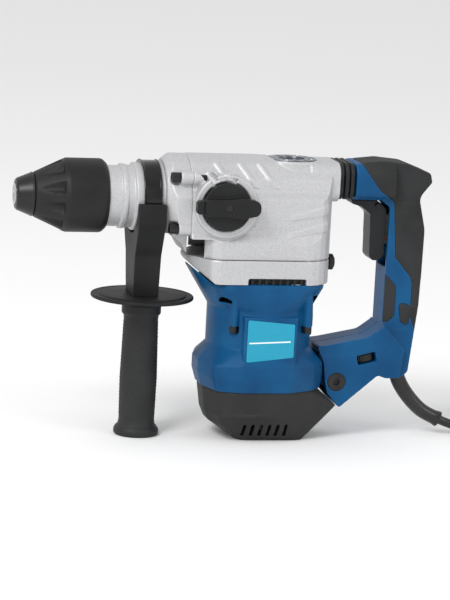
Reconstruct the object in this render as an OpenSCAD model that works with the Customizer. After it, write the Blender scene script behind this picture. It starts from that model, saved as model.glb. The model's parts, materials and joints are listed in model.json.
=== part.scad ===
// Vertical-motor rotary hammer with an SDS-plus chuck, a side handle and a D-handle.
// The motor stands upright on the origin, the spindle runs along X with the chuck at -X,
// the side with the mode selector faces -Y, and the tool stands on the motor's end cap.

/* [Spindle and chuck] */
// Height of the spindle axis above the floor
spindle_z = 208.5; // [208:0.5:209]
// Radius of the tool bore that takes a 10 mm shank
tool_bore_r = 5.05; // [5.02:0.01:5.08]
// Length of the tool bore behind the mouth
tool_bore_len = 56; // [54:1:57]
// Travel of the locking sleeve
sleeve_travel = 8; // [6:0.5:8]

/* [Side handle] */
// Place of the side grip's axis along X
grip_x = -104.2; // [-106:0.1:-103]
// Outer radius of the hand guard disc
disc_r = 44.5; // [40:0.5:45]
// Number of flutes round the side grip
grip_flutes = 24; // [16:2:32]

/* [Gear train] */
// Tooth size of the crank and idler gears
gear_module = 1; // [1:1:1]
// Teeth cut on the motor shaft
pinion_teeth = 7; // [7:1:7]
// Teeth of the crank gear
crank_teeth = 37; // [37:1:37]
// Teeth of the idler gear
idler_teeth = 41; // [41:1:41]
// Teeth of the crown gear on the hammer tube
crown_teeth = 39; // [39:1:39]
// Teeth of the small pinion that drives the crown gear
crown_pinion_teeth = 12; // [12:1:12]
// Throw of the crank pin
crank_throw = 10; // [8:0.5:10]

/* [Motor] */
// Outer radius of the motor barrel
barrel_r = 45.5; // [45:0.5:47]
// Wall of the motor barrel
barrel_wall = 3.5; // [3:0.5:4]
// Armature core radius
armature_r = 21; // [19:0.5:22]
// Number of cooling slots in the end cap
cap_slots = 6; // [4:1:7]

/* [Handle and cord] */
// Half width of the grip
grip_half = 17; // [16:0.5:18]
// Mains cord diameter
cord_d = 8; // [8:1:8]
// Layers of the stored coil
coil_layers = 4; // [4:1:4]

/* [Hidden] */
$fn = 64;

crank_x = gear_module * (pinion_teeth + crank_teeth) / 2;
idler_x = -gear_module * (pinion_teeth + idler_teeth) / 2;
crown_r = 23;
crown_pinion_r = crown_r * crown_pinion_teeth / crown_teeth;
crown_face_x = idler_x - crown_pinion_r;
chuck_front = -219;
holder_rear = -98;
ball_x = -182;
collar_front = -141;
collar_r = 29.2;
flange_front = -93;
nose_split = -72;
case_rear = 54.5;
neck_rear = 60;
case_half_y = 44.2;
base_top = 161;
motor_top = 139.7;
cap_split = 46;
knob_x = -44;
knob_z = 207.5;
pivot_x = 68;
pivot_z = 51;
trigger_x = 98;
trigger_z = 206;
bellows_x = 60.2;
bellows_len = 14.2;
disc_z = 120;
cap_x = 21.7;
cap_r = 21.5;
running = 0.05;
gap = 0.3;

// ---- outlines ----
function unit(v) = v / norm(v);
// Points of a rounded corner at b between its neighbours a and c
function corner(a, b, c, r, n = 6) =
  r <= 0 ? [b] :
  let (u = unit(a - b), v = unit(c - b), half = acos(u * v) / 2,
       centre = b + unit(u + v) * r / sin(half), reach = r / tan(half),
       p = b + u * reach - centre, q = b + v * reach - centre, turn = 180 - 2 * half)
  [for (i = [0:n]) centre + p * sin(turn * (1 - i / n)) / sin(turn)
                          + q * sin(turn * i / n) / sin(turn)];
// A closed outline from [x, y, corner radius] points
function outline(pts) =
  let (n = len(pts))
  [for (i = [0:n - 1])
    let (a = pts[(i + n - 1) % n], b = pts[i], c = pts[(i + 1) % n])
    each corner([a[0], a[1]], [b[0], b[1]], [c[0], c[1]], b[2])];
// The same points followed by their mirror image about the first axis
function mirrored(pts) = concat(pts, [for (i = [len(pts) - 1:-1:0]) [-pts[i][0], pts[i][1], pts[i][2]]]);

// A solid turned about the spindle axis from [x, radius] points
module turned(pts, z = spindle_z) {
  translate([0, 0, z]) rotate([0, 90, 0])
    rotate_extrude($fn = 96) polygon([for (p = pts) [p[1], p[0]]]);
}
// A solid turned about a vertical axis at x from [radius, z] points
module upright(pts, x = 0) {
  translate([x, 0, 0]) rotate_extrude($fn = 96) polygon(pts);
}
module post(x, r, z0, z1, y = 0) {
  translate([x, y, z0]) cylinder(r = r, h = z1 - z0);
}
module cross_post(x, z, r, y0, y1) {
  translate([x, y0, z]) rotate([-90, 0, 0]) cylinder(r = r, h = y1 - y0);
}
module long_post(y, z, r, x0, x1) {
  translate([x0, y, z]) rotate([0, 90, 0]) cylinder(r = r, h = x1 - x0);
}
// A side view outline given thickness from y0 to y1
module side_plate(pts, y0, y1) {
  translate([0, y1, 0]) rotate([90, 0, 0]) linear_extrude(y1 - y0) polygon(pts);
}
// A front view outline given length from x0 to x1
module front_plate(pts, x0, x1) {
  translate([x0, 0, 0]) rotate([90, 0, 90]) linear_extrude(x1 - x0) polygon(pts);
}
// A plan view outline given height from z0 to z1
module plan_plate(pts, z0, z1) {
  translate([0, 0, z0]) linear_extrude(z1 - z0) polygon(pts);
}

// ---- swept tubes ----
// A closed tube of radius r (or radii, one for each point) along pts
module tube(pts, radii, sides = 8, side_axis = [0, 1, 0]) {
  n = len(pts);
  function heading(i) = unit(pts[min(i + 1, n - 1)] - pts[max(i - 1, 0)]);
  function across(i) = unit(cross(heading(i), side_axis));
  function other(i) = cross(heading(i), across(i));
  rings = [for (i = [0:n - 1]) for (k = [0:sides - 1])
    let (a = 360 * k / sides, r = is_list(radii) ? radii[i] : radii)
    pts[i] + r * (cos(a) * across(i) + sin(a) * other(i))];
  walls = [for (i = [0:n - 2]) for (k = [0:sides - 1])
    let (j = (k + 1) % sides, a = i * sides)
    [a + k, a + sides + k, a + sides + j, a + j]];
  first = [for (k = [0:sides - 1]) k];
  last = [for (k = [sides - 1:-1:0]) (n - 1) * sides + k];
  polyhedron(points = rings, faces = concat([first], walls, [last]), convexity = 6);
}
// Points of a compression spring along X
function helix(x0, x1, r, turns, steps = 14) =
  [for (i = [0:turns * steps]) let (a = 360 * i / steps)
    [x0 + (x1 - x0) * i / (turns * steps), r * cos(a), r * sin(a)]];
// A smooth curve through hand-chosen points
function smooth(pts, steps = 4) =
  let (n = len(pts))
  concat([for (i = [0:n - 2]) for (k = [0:steps - 1])
    let (t = k / steps, a = pts[max(i - 1, 0)], b = pts[i], c = pts[i + 1], d = pts[min(i + 2, n - 1)])
    0.5 * (2 * b + (c - a) * t + (2 * a - 5 * b + 4 * c - d) * t * t
           + (3 * b - a - 3 * c + d) * t * t * t)], [pts[n - 1]]);

// ---- gears ----
// A spur gear outline with straight flanks: tip, root and width as shares of the tooth size
function teeth(count, r, tip, root, width) =
  [for (i = [0:count - 1]) let (a = 360 * i / count, w = 360 / count * width)
    each [for (s = [[-0.62, -root], [-0.40, tip], [0.40, tip], [0.62, -root]])
      let (q = r + s[1] * gear_module) [q * cos(a + s[0] * w), q * sin(a + s[0] * w)]]];

// ==== chuck and spindle ====
module tool_holder() {
  color("silver") difference() {
    turned([[chuck_front, 0], [chuck_front, 9.5], [-206, 9.5], [-206, 12], [-153, 12], [-153, 20],
            [-150, 20], [-150, 15], [holder_rear, 15], [holder_rear, 0]]);
    long_post(0, spindle_z, tool_bore_r, chuck_front - 1, chuck_front + tool_bore_len + 2);
    turned([[chuck_front - 0.1, 0], [chuck_front - 0.1, 6.8], [chuck_front + 1.7, tool_bore_r],
            [chuck_front + 1.7, 0]]);
    long_post(0, spindle_z, 9, chuck_front + tool_bore_len, holder_rear + 1);
    for (x = [ball_x - 2, ball_x + 2]) post(x, 3.2, spindle_z - 14, spindle_z + 14);
    translate([ball_x - 2, -3.2, spindle_z - 14]) cube([4, 6.4, 28]);
  }
}
module locking_balls() {
  color("dimgray") for (side = [-1, 1]) translate([ball_x, 0, spindle_z + side * 8.7]) sphere(r = 3);
}
module dust_cap() {
  color([0.06, 0.06, 0.07]) turned([[-218.2, 9.5], [-218.2, 12.4], [-217, 13.5], [-203.3, 19],
                                     [-203.3, 12], [-206, 12], [-206, 9.5]]);
}
module sleeve_spring() {
  color("silver") translate([0, 0, spindle_z]) tube(helix(-194, -154.6, 15.2, 6), 1.1, 8, [1, 0, 0]);
}
module locking_sleeve() {
  flutes = 10;
  color([0.07, 0.07, 0.08]) difference() {
    turned([[-203, 12 + running], [-203, 18.3], [-202, 19.3], [-178, 30.6], [-175, 31.7],
            [-145.5, 31.7], [-144, 31], [collar_front, 28.2], [collar_front, 26.7],
            [-174, 26.7], [-195.4, 17.5], [-195.4, 12 + running]]);
    for (i = [0:flutes - 1]) translate([0, 0, spindle_z]) rotate([360 * (i + 0.5) / flutes, 0, 0])
      translate([-189, 0, 28.2]) rotate([0, 64.5, 0]) cylinder(r = 3.2, h = 13.5);
  }
}
module hammer_tube() {
  color("silver") turned([[holder_rear, 9], [holder_rear, 17], [-4, 17], [-4, 13.5], [-94, 13.5],
                           [-94, 9]]);
}
module crown_gear() {
  body_x = crown_face_x - 8;
  color("slategray") {
    turned([[body_x, 17], [body_x, 26], [crown_face_x - 1.4, 26], [crown_face_x - 1.4, 17]]);
    for (i = [0:crown_teeth - 1]) translate([crown_face_x - 1.4, 0, spindle_z])
      rotate([360 * i / crown_teeth, 0, 0]) translate([0, -0.75, -26]) cube([2.3, 1.5, 5.5]);
  }
}
module impact_bolt() {
  color("gray") turned([[-152, 0], [-152, 4], [-138, 4], [-136, 8.95], [-108, 8.95], [-106, 7],
                         [-96, 7], [-96, 0]]);
}
module striker() {
  color("gray") turned([[-84, 0], [-84, 6], [-72, 6], [-72, 13.45], [-50, 13.45], [-50, 0]]);
}

// ==== crank drive ====
rod_len = 50;
rod_rear_x = crank_x + crank_throw;
wrist_x = rod_rear_x - rod_len;
module piston() {
  color("silver") difference() {
    turned([[wrist_x - 11, 0], [wrist_x - 11, 13.45], [wrist_x + 10, 13.45], [wrist_x + 10, 0]]);
    translate([wrist_x - 6.5, -6, spindle_z - 9]) cube([30, 12, 18]);
    cross_post(wrist_x, spindle_z, 3.5, -14, 14);
  }
}
module wrist_pin() {
  color("gray") cross_post(wrist_x, spindle_z, 3.5, -12, 12);
}
module con_rod() {
  color("dimgray") difference() {
    union() {
      cross_post(wrist_x, spindle_z, 5.5, -5, 5);
      translate([wrist_x, -2.5, spindle_z - 3]) cube([rod_len, 5, 6]);
      post(rod_rear_x, 8, spindle_z - 5, spindle_z + 5);
    }
    cross_post(wrist_x, spindle_z, 3.5, -6, 6);
  }
}
module crankshaft() {
  color("silver") {
    post(crank_x, 5, 150, 190);
    post(crank_x, 15.5, 190, 197);
    post(rod_rear_x, 4.5, 197, spindle_z - 5.4);
  }
}
module crank_gear() {
  color("slategray") difference() {
    union() {
      translate([crank_x, 0, 166]) rotate([0, 0, 180 + 180 / crank_teeth]) linear_extrude(8)
        polygon(teeth(crank_teeth, gear_module * crank_teeth / 2, 0.55, 1.25, 0.36));
      post(crank_x, 9, 172, 180);
    }
    post(crank_x, 5, 160, 190);
  }
}
module idler_gear() {
  color("slategray") difference() {
    union() {
      translate([idler_x, 0, 166]) linear_extrude(8)
        polygon(teeth(idler_teeth, gear_module * idler_teeth / 2, 0.55, 1.25, 0.36));
      post(idler_x, 8, 172, 178);
    }
    post(idler_x, 5, 160, 190);
  }
}
module idler_shaft() {
  color("silver") {
    post(idler_x, 5, 150, 182);
    for (i = [0:crown_pinion_teeth - 1]) translate([idler_x, 0, 182])
      rotate([0, 0, 180 + 360 * (i + 0.5) / crown_pinion_teeth])
        translate([5, -0.6, 0]) cube([crown_pinion_r + 0.35 - 5, 1.2, 6.5]);
    post(idler_x, 5.4, 182, 188.5);
  }
}
module gear_bearings() {
  color("silver") for (x = [crank_x, idler_x]) for (z = [151, 158.5])
    upright([[5 + running, z], [11, z], [11, z + 6.5], [5 + running, z + 6.5]], x);
}

// ==== aluminium castings ====
case_half = mirrored([[-case_half_y, base_top, 0], [-case_half_y, 175, 3], [-40, 183, 3], [-40.5, 213, 3],
                      [-34.5, 219, 2], [-32, 229, 8], [-21, 241.5, 10], [-7, 246.4, 10]]);
module case_bore(x0, x1) {
  long_post(0, spindle_z, 30, x0, x1);
  translate([x0, -33, base_top - 5]) cube([x1 - x0, 66, spindle_z - base_top + 5]);
}
module screw_sites() {
  for (side = [-1, 1]) for (dz = [-22.5, 21.5]) translate([0, side * 34, spindle_z + dz]) children();
}
module nose_casting() {
  flange = outline(mirrored([[-36, 180, 5], [-38.5, 190, 8], [-39, 213, 6], [-33, 224, 6],
                             [-22, 240, 12], [-7, 246, 12]]));
  color([0.78, 0.78, 0.78]) difference() {
    union() {
      turned([[collar_front, 0], [collar_front, 26.2], [-129, 26.2], [-129, 27.9], [-125, 27.9],
              [-125, 26.8], [-118, 26.8], [-118, collar_r], [flange_front, collar_r],
              [flange_front, 0]]);
      intersection() {
        front_plate(flange, flange_front, nose_split);
        turned([[flange_front, 0], [flange_front, 33], [-84, 40], [-80, 60], [nose_split, 60],
                [nose_split, 0]]);
      }
      intersection() {
        screw_sites() long_post(0, 0, 6, -82.5, nose_split);
        turned([[-100, 0], [-100, 60], [nose_split, 60], [nose_split, 0]]);
      }
      side_plate(outline([[-90, 190, 0], [-86, 178, 4], [-77, 172, 6], [nose_split, 163, 0],
                          [nose_split, 190, 0]]), -22, 22);
    }
    translate([nose_split, -60, 100]) cube([100, 120, 200]);
    screw_sites() long_post(0, 0, 6.2, -100, -82.5);
    screw_sites() long_post(0, 0, 2.6, -84, nose_split + 1);
    long_post(0, spindle_z, 16.5, collar_front - 1, -90);
    long_post(0, spindle_z, 22, -118, -90);
    long_post(0, spindle_z, 27, -94, nose_split + 1);
  }
}
module nose_screws() {
  color([0.05, 0.05, 0.06]) screw_sites() difference() {
    union() {
      long_post(0, 0, 4.4, -90.5, -82.5);
      long_post(0, 0, 2.6, -82.5, -60);
    }
    translate([-91, 0, 0]) rotate([0, 90, 0]) cylinder(r = 2.3, h = 4.5, $fn = 6);
  }
}
module spindle_bearings() {
  color("silver") {
    turned([[-112, 15 + running], [-112, 22], [-100, 22], [-100, 15 + running]]);
    turned([[-13, 17 + running], [-13, 21], [-5, 21], [-5, 17 + running]]);
  }
}
module spindle_seal() {
  color([0.1, 0.1, 0.1]) turned([[-118, 15.1], [-118, 22], [-112, 22], [-112, 15.1]]);
}
module top_ribs() {
  for (i = [0:2]) translate([-73 + 17 * i, -27, 246.5]) rotate([0, 128, -38])
    translate([0, 0, -20]) cylinder(r = 5.5, h = 52);
}
module feather(x, z, len) {
  side_plate(outline([[x, z, 0], [x + 4, z + 6, 4], [x + 12, z + 9.5, 6], [x + len, z + 11.5, 0],
                      [x + len, z + 10.5, 0], [x + 12, z + 8.6, 5], [x + 4.6, z + 5, 3],
                      [x + 1.6, z + 0.8, 0], [x + len, z + 0.8, 0], [x + len, z, 0]]), -60, -39.7);
}
module gear_housing() {
  color([0.8, 0.8, 0.8]) difference() {
    union() {
      intersection() {
        front_plate(outline(case_half), nose_split, case_rear);
        side_plate(outline([[nose_split, base_top, 0], [nose_split, 246.2, 0], [-20, 246.6, 30],
                            [44, 243.8, 8], [case_rear, 241, 3], [case_rear, base_top, 0]]), -60, 60);
        plan_plate(outline([[nose_split - 1, -case_half_y, 0], [case_rear, -case_half_y, 26],
                            [case_rear, case_half_y, 26], [nose_split - 1, case_half_y, 0]]), 100, 300);
      }
      front_plate(outline(mirrored([[-27, 209.5, 10], [-27, 243.8, 11]])), 34, neck_rear);
      screw_sites() long_post(0, 0, 6, nose_split, -52);
      cross_post(knob_x, knob_z, 27, -46.5, -30);
      post(cap_x, 25.5, 234, 243.8);
    }
    case_bore(nose_split - 1, -13);
    case_bore(-5, 48.5);
    long_post(0, spindle_z, 21, -14, 0);
    translate([-14, -33, base_top - 5]) cube([10, 66, 20]);
    cross_post(knob_x, knob_z, 21.3, -60, -43);
    cross_post(knob_x, knob_z, 6 + running, -60, -20);
    screw_sites() long_post(0, 0, 2.6, nose_split - 1, -59.9);
    post(cap_x, cap_r + gap, 240, 260);
    post(cap_x, 17, 225, 260);
    top_ribs();
    feather(7, 201, 28);
    feather(-4, 185.5, 38);
    front_corners(178);
  }
}
// The two front corners below a height, where the case narrows towards the nose
module front_corners(top) {
  for (side = [-1, 1]) plan_plate([for (p = [[-80, 16], [-69.5, 20], [-53, 41], [-46, case_half_y],
    [-46, 60], [-80, 60]]) [p[0], side * p[1]]], 100, top);
}
module gearbox_base() {
  plan = outline([[-69.5, -15, 12], [-53, -41, 8], [-46, -case_half_y, 4], [case_rear, -case_half_y, 26],
                  [case_rear, case_half_y, 26], [-46, case_half_y, 4], [-53, 41, 8], [-69.5, 15, 12]]);
  color([0.8, 0.8, 0.8]) difference() {
    intersection() {
      plan_plate(plan, motor_top, base_top);
      side_plate(outline([[-69.5, base_top, 0], [-69.5, 157, 0], [-65.5, 152.5, 3], [-49.5, motor_top, 2],
                          [case_rear, motor_top, 0], [case_rear, base_top, 0]]), -60, 60);
    }
    plan_plate(outline([[-45, -36, 8], [47, -36, 18], [47, 36, 18], [-45, 36, 8]]), 151, base_top + 1);
    post(0, 13, motor_top - 1, 148);
    post(0, 6, motor_top, 170);
    for (x = [crank_x, idler_x]) post(x, 11, 151, base_top + 1);
    for (x = [crank_x, idler_x]) post(x, 6, 148, 170);
    for (side = [-1, 1]) translate([-21, side * 41.5 - 5.5, motor_top - 1]) cube([51, 11, 6.5]);
    long_post(-18, 157, 3, case_rear - 4, case_rear + 10);
  }
  color([0.8, 0.8, 0.8]) for (x = [crank_x, idler_x]) difference() {
    upright([[11, 151], [13.5, 151], [13.5, 165], [11, 165]], x);
    for (other = [crank_x, idler_x, 0]) if (other != x) post(other, 6.5, 150, 166);
  }
}
module vent_grille() {
  color([0.08, 0.08, 0.09]) for (side = [-1, 1]) {
    translate([-21, side * 37.5 - 1, motor_top]) cube([51, 2, 5.5]);
    for (i = [0:7]) translate([-18 + 6.2 * i, side * 39.7 - 1.2, motor_top]) cube([2.2, 2.4, 5.5]);
  }
}
module housing_plug() {
  color([0.05, 0.05, 0.06]) {
    long_post(-18, 157, 3, case_rear - 4, case_rear + 1);
    long_post(-18, 157, 7, case_rear, case_rear + 4);
    long_post(-18, 157, 5, case_rear + 4, case_rear + 5.2);
  }
}
module oil_cap() {
  color([0.25, 0.27, 0.3]) difference() {
    union() {
      post(cap_x, cap_r, 240, 244.4);
      post(cap_x, 17, 232, 240);
    }
    for (i = [0:11]) translate([cap_x, 0, 242.6]) rotate([0, 0, 30 * i])
      translate([15, -1.8, 0]) cube([4, 3.6, 3]);
    post(cap_x, 11.5, 242.6, 250);
  }
}

// ==== mode selector ====
module selector_knob() {
  color([0.06, 0.06, 0.07]) difference() {
    union() {
      cross_post(knob_x, knob_z, 20.5, -52, -43.3);
      side_plate([for (p = outline([[-21, -7, 2], [-21, 7, 2], [2, 7.6, 3], [11, 9, 4],
                                    [27.5, 6, 6], [27.5, -6, 6], [11, -9, 4], [2, -7.6, 3]]))
                  [knob_x + p[0], knob_z + p[1]]], -58, -48.6);
    }
    cross_post(knob_x, knob_z, 3.4, -60, -55);
    cross_post(knob_x, knob_z, 2, -60, -40);
  }
}
module selector_button() {
  color([0.09, 0.09, 0.1]) side_plate([for (p = outline([[-27.5, -5.4, 2.5], [-27.5, 5.4, 2.5],
    [-21.2, 6, 0], [-21.2, -6, 0]])) [knob_x + p[0], knob_z + p[1]]], -56.5, -49);
}
module knob_screw() {
  color([0.03, 0.03, 0.03]) {
    cross_post(knob_x, knob_z, 3.4, -57.2, -55);
    cross_post(knob_x, knob_z, 2, -55, -43.3);
  }
}
module selector_shaft() {
  color("silver") {
    cross_post(knob_x, knob_z, 6, -43.3, -31);
    cross_post(knob_x + 3, knob_z, 2, -31, -28);
  }
}

// ==== side handle ====
module clamp_band() {
  color([0.04, 0.04, 0.05])
    turned([[-112, collar_r + 0.1], [-112, 31.2], [-96.5, 31.2], [-96.5, collar_r + 0.1]]);
}
module handle_yoke() {
  color([0.09, 0.09, 0.1]) difference() {
    front_plate(outline([[-37, 206.5, 1], [-37, 190, 6], [-22, 160, 10], [-17, disc_z + 3.5, 0],
                         [17, disc_z + 3.5, 0], [22, 160, 10], [37, 190, 6], [37, 206.5, 1]]), -117.4, -93.4);
    long_post(0, spindle_z, 31.25, -130, -80);
    side_plate([[-130, 100], [-130, 210], [-117.5, 210], [-115.5, disc_z]], -60, 60);
    post(grip_x, 4, 120, 180);
    translate([grip_x - 7.5, -7.5, 168]) cube([15, 15, 10]);
  }
}
module clamp_bolt() {
  color("silver") {
    post(grip_x, 4, 66, 168.5);
    translate([grip_x - 7, -7, 168.5]) cube([14, 14, 5.5]);
  }
}
module guard_disc() {
  color([0.07, 0.07, 0.08]) difference() {
    union() {
      post(grip_x, disc_r, disc_z, disc_z + 2.6);
      upright([[30, disc_z], [disc_r, disc_z], [disc_r, disc_z + 3.5], [disc_r - 2, disc_z + 3.5],
               [disc_r - 4, disc_z + 2.6], [30, disc_z + 2.6]], grip_x);
      upright([[4.3, disc_z - 4], [20, disc_z - 4], [24, disc_z], [24, disc_z + 3.5],
               [4.3, disc_z + 3.5]], grip_x);
    }
    post(grip_x, 4.3, disc_z - 10, disc_z + 10);
  }
}
module side_grip() {
  top = disc_z - 4.3;
  color([0.07, 0.07, 0.08]) difference() {
    upright([[0, 0], [18.3, 0], [19.6, 1.4], [19.6, 5], [18, 7.5], [16.4, 9], [15.6, 14],
             [16, 50], [14.8, 102], [15.2, 105.5], [17, 107], [17, top - 1], [16, top],
             [0, top]], grip_x);
    for (i = [0:grip_flutes - 1]) translate([grip_x, 0, 0]) rotate([0, 0, 360 * i / grip_flutes])
      translate([16.6, 0, 16]) rotate([0, -0.5, 0]) cylinder(r = 1, h = 84);
    post(grip_x, 4 + running, 60, 130);
  }
}

// ==== motor ====
// Plan of the flare at the foot of the motor, half width in Y
base_half = [[-55, -12, 14], [-46, -42, 10], [-24, -49, 14], [20, -49, 20], [44, -36, 16], [54, -24, 6]];
base_plan = outline(concat(base_half, [for (i = [len(base_half) - 1:-1:0])
  [base_half[i][0], -base_half[i][1], base_half[i][2]]]));
function scaled(pts, sx, sy) = [for (p = pts) [p[0] * sx + 1, p[1] * sy]];
module motor_housing() {
  bowl_plan = outline([[-50, -30, 16], [-40, -43.5, 10], [51, -43.5, 24], [51, 43.5, 24],
                       [-40, 43.5, 10], [-50, 30, 16]]);
  seam = outline([[-80, 30, 0], [-80, 200, 0], [70, 200, 0], [47.5, 115, 0], [46.5, 88, 0],
                  [52.5, 76, 6], [54, 60, 6], [56, 46, 0], [56, 30, 0]]);
  color([0.05, 0.2, 0.42]) difference() {
    union() {
      post(0, barrel_r, 60, 132);
      hull() {
        post(0, barrel_r, 116, 117);
        plan_plate(bowl_plan, motor_top - 4, motor_top);
        translate([-65, -13, 149]) cube([3, 26, 1]);
      }
      intersection() {
        hull() {
          post(0, barrel_r - 1, 82, 83);
          plan_plate(base_plan, 58, 69);
          plan_plate(scaled(base_plan, 0.95, 0.97), cap_split, 48);
        }
        side_plate(seam, -60, 60);
      }
      side_plate(outline([[40, 46.2, 0], [40, 66, 0], [66, 61, 6], [77.5, 56, 7], [77.5, 45, 7],
                          [68, 41, 7], [61, 43, 3], [58, 46.2, 0]]), -11, 11);
      for (x = [-30, 35]) for (side = [-1, 1]) hull() {
        post(x, 4.6, 100, 112, side * 35);
        post(x, 3, 125, 130, side * 38);
      }
      translate([42, -7, 90]) cube([5, 14, 28]);
      translate([-23, -barrel_r - 1.4, 70]) cube([46.5, 12, 42]);
    }
    post(0, barrel_r - barrel_wall, cap_split - 1, 122);
    side_plate([[-90, 151], [-65.5, 151], [-49.5, motor_top - 1.6], [-40, motor_top - 1.6], [-40, motor_top],
                [80, motor_top], [80, 200], [-90, 200]], -60, 60);
    plan_plate(outline([[-42, -38, 10], [45, -38, 14], [45, 38, 14], [-42, 38, 10]]), 122, motor_top + 1);
    plan_plate(scaled(base_plan, 0.88, 0.9), cap_split - 1, 62);
    for (x = [-30, 35]) for (side = [-1, 1]) post(x, 2.1, 96, 125, side * 35);
    for (x = [-30, 35]) for (side = [-1, 1]) post(x, 4.7, 96.5, 103, side * 35);
    cross_post(pivot_x, pivot_z, 5 + running, -12, 12);
    label_face(-60, -barrel_r - 0.0);
  }
  for (a = [-25, 25, 155, 205]) rotate([0, 0, a]) translate([36.1, -2, 66])
    color([0.05, 0.2, 0.42]) cube([8.5, 4, 46]);
}
module motor_screws() {
  color([0.05, 0.05, 0.06]) for (x = [-30, 35]) for (side = [-1, 1]) difference() {
    union() {
      post(x, 3.9, 97, 103, side * 35);
      post(x, 2.1, 103, 124, side * 35);
    }
    translate([x, side * 35, 96]) cylinder(r = 1.8, h = 3, $fn = 6);
  }
}
// Outline of the label and of its shallow seat
module label_face(y0, y1) {
  side_plate(outline([[-20, 72.5, 1.5], [-20, 110, 1.5], [21.5, 106.5, 1.5], [21.5, 77.5, 1.5]]), y0, y1);
}
module label_plate() {
  color([0.1, 0.55, 0.6]) label_face(-barrel_r - 1.2, -barrel_r - 0.4);
}
module stator() {
  color("firebrick") difference() {
    upright([[armature_r + 0.8, 66], [36, 66], [36, 112], [armature_r + 0.8, 112]]);
    for (side = [-1, 1]) translate([-50, side * 40 - 14, 60]) cube([100, 28, 60]);
  }
}
module armature_core() {
  color("peru") difference() {
    post(0, armature_r, 68, 110);
    for (i = [0:11]) rotate([0, 0, 30 * i]) translate([armature_r - 3, -0.8, 60]) cube([6, 1.6, 60]);
    post(0, 5, 60, 120);
  }
}
module armature_shaft() {
  color("silver") {
    post(0, 5, 12, 165);
    translate([0, 0, 165]) linear_extrude(10)
      polygon(teeth(pinion_teeth, gear_module * pinion_teeth / 2, 0.85, 0.8, 0.40));
  }
}
module commutator() {
  color("darkorange") difference() {
    post(0, 14, 36, 54);
    for (i = [0:23]) rotate([0, 0, 15 * i]) translate([12.8, -0.25, 30]) cube([2, 0.5, 30]);
    post(0, 5, 30, 60);
  }
}
module fan() {
  color([0.2, 0.2, 0.22]) {
    difference() {
      post(0, 34, 116, 118.5);
      post(0, 5, 110, 130);
    }
    upright([[5, 118], [9, 118], [9, 130], [5, 130]]);
    for (i = [0:10]) rotate([0, 0, 360 * i / 11]) translate([12, -0.8, 118]) cube([21, 1.6, 10.5]);
  }
}
module motor_bearings() {
  color("silver") for (z = [16, 141])
    upright([[5 + running, z], [13, z], [13, z + 7], [5 + running, z + 7]]);
}
module carbon_brushes() {
  color([0.15, 0.15, 0.16]) for (side = [-1, 1]) translate([-3, side * 24 - 9.8, 41]) cube([6, 19.6, 8]);
}
module end_cap() {
  color([0.14, 0.14, 0.15]) difference() {
    intersection() {
      hull() {
        plan_plate(scaled(base_plan, 0.92, 0.95), cap_split - 3, cap_split);
        plan_plate(scaled(base_plan, 0.87, 0.91), 24, 25);
        plan_plate(scaled(base_plan, 0.8, 0.82), 15, 16);
        plan_plate(outline([[-20, -26, 8], [40, -26, 8], [40, 26, 8], [-20, 26, 8]]), 0, 1);
        translate([52, -22, 30]) cube([16, 44, 1]);
      }
      side_plate([[-80, -1], [-80, cap_split], [54.4, cap_split], [58.2, 41], [69, 29.6],
                  [69, -1]], -60, 60);
    }
    plan_plate(scaled(base_plan, 0.83, 0.86), 30, cap_split + 1);
    post(0, 33, 12, 24);
    post(0, 38, 24, 40);
    for (i = [0:cap_slots - 1]) translate([-18 + 7.4 * i, -60, 5]) cube([3, 34, 12]);
  }
  color([0.14, 0.14, 0.15]) {
    upright([[13, 12], [17, 12], [17, 24], [13, 24]]);
    for (side = [-1, 1]) translate([-5, side * 27 - 7, 11.5]) cube([10, 14, 29.5]);
  }
}

// ==== D-handle ====
handle_edge = [[74.7, 211.2, 0], [74.7, 242.8, 2], [100, 245.6, 16], [122, 243.5, 12], [143.5, 235.5, 4],
               [145.2, 227.5, 2], [134.5, 214, 10], [141, 186, 30], [140.5, 150, 30], [139.5, 118, 20],
               [133.5, 60, 3], [129, 55, 3], [112, 54.5, 4], [105, 57, 3], [71.5, 28.2, 1], [60, 41, 4],
               [57.5, 52, 8], [55.5, 68, 8], [49, 82.5, 2], [60, 84, 10], [95, 91, 14], [108, 100.5, 4],
               [108, 154, 3], [108.5, 205, 3], [100, 211.2, 3]];
grip_split = [[76.5, 250, 0], [86, 234, 14], [97, 220, 8], [112, 210, 6], [116, 161, 6],
              [130, 145, 5], [132.5, 138, 3], [132.5, 110, 6], [139, 92, 0], [170, 92, 0], [170, 250, 0]];
module handle_body(half) {
  side_plate(outline(handle_edge), -half, half);
}
module handle_form() {
  handle_body(grip_half);
  intersection() {
    handle_body(26);
    front_plate(outline(mirrored([[-26, 213, 6], [-26, 243.6, 12]])), 60, 110);
  }
  intersection() {
    handle_body(22);
    side_plate([[40, 20], [40, 110], [100, 110], [128, 80], [120, 20]], -30, 30);
  }
}
module handle_shell(side) {
  color([0.05, 0.2, 0.42]) difference() {
    handle_form();
    translate([0, side > 0 ? -60 : 0, 0]) cube([200, 60, 300]);
    side_plate(outline(grip_split), -60, 60);
    handle_hollow();
    dial_slot();
    cross_post(pivot_x, pivot_z, 5 + running, -30, 30);
    cross_post(pivot_x, pivot_z, 8.2, -30, -18.5);
    cross_post(pivot_x, pivot_z, 8.2, 18.5, 30);
    cross_post(trigger_x, trigger_z, 2 + running, -14.3, 14.3);
    grip_pad();
    tail_pad();
    tube(guard_path, guard_root_r, 12);
  }
}
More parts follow.
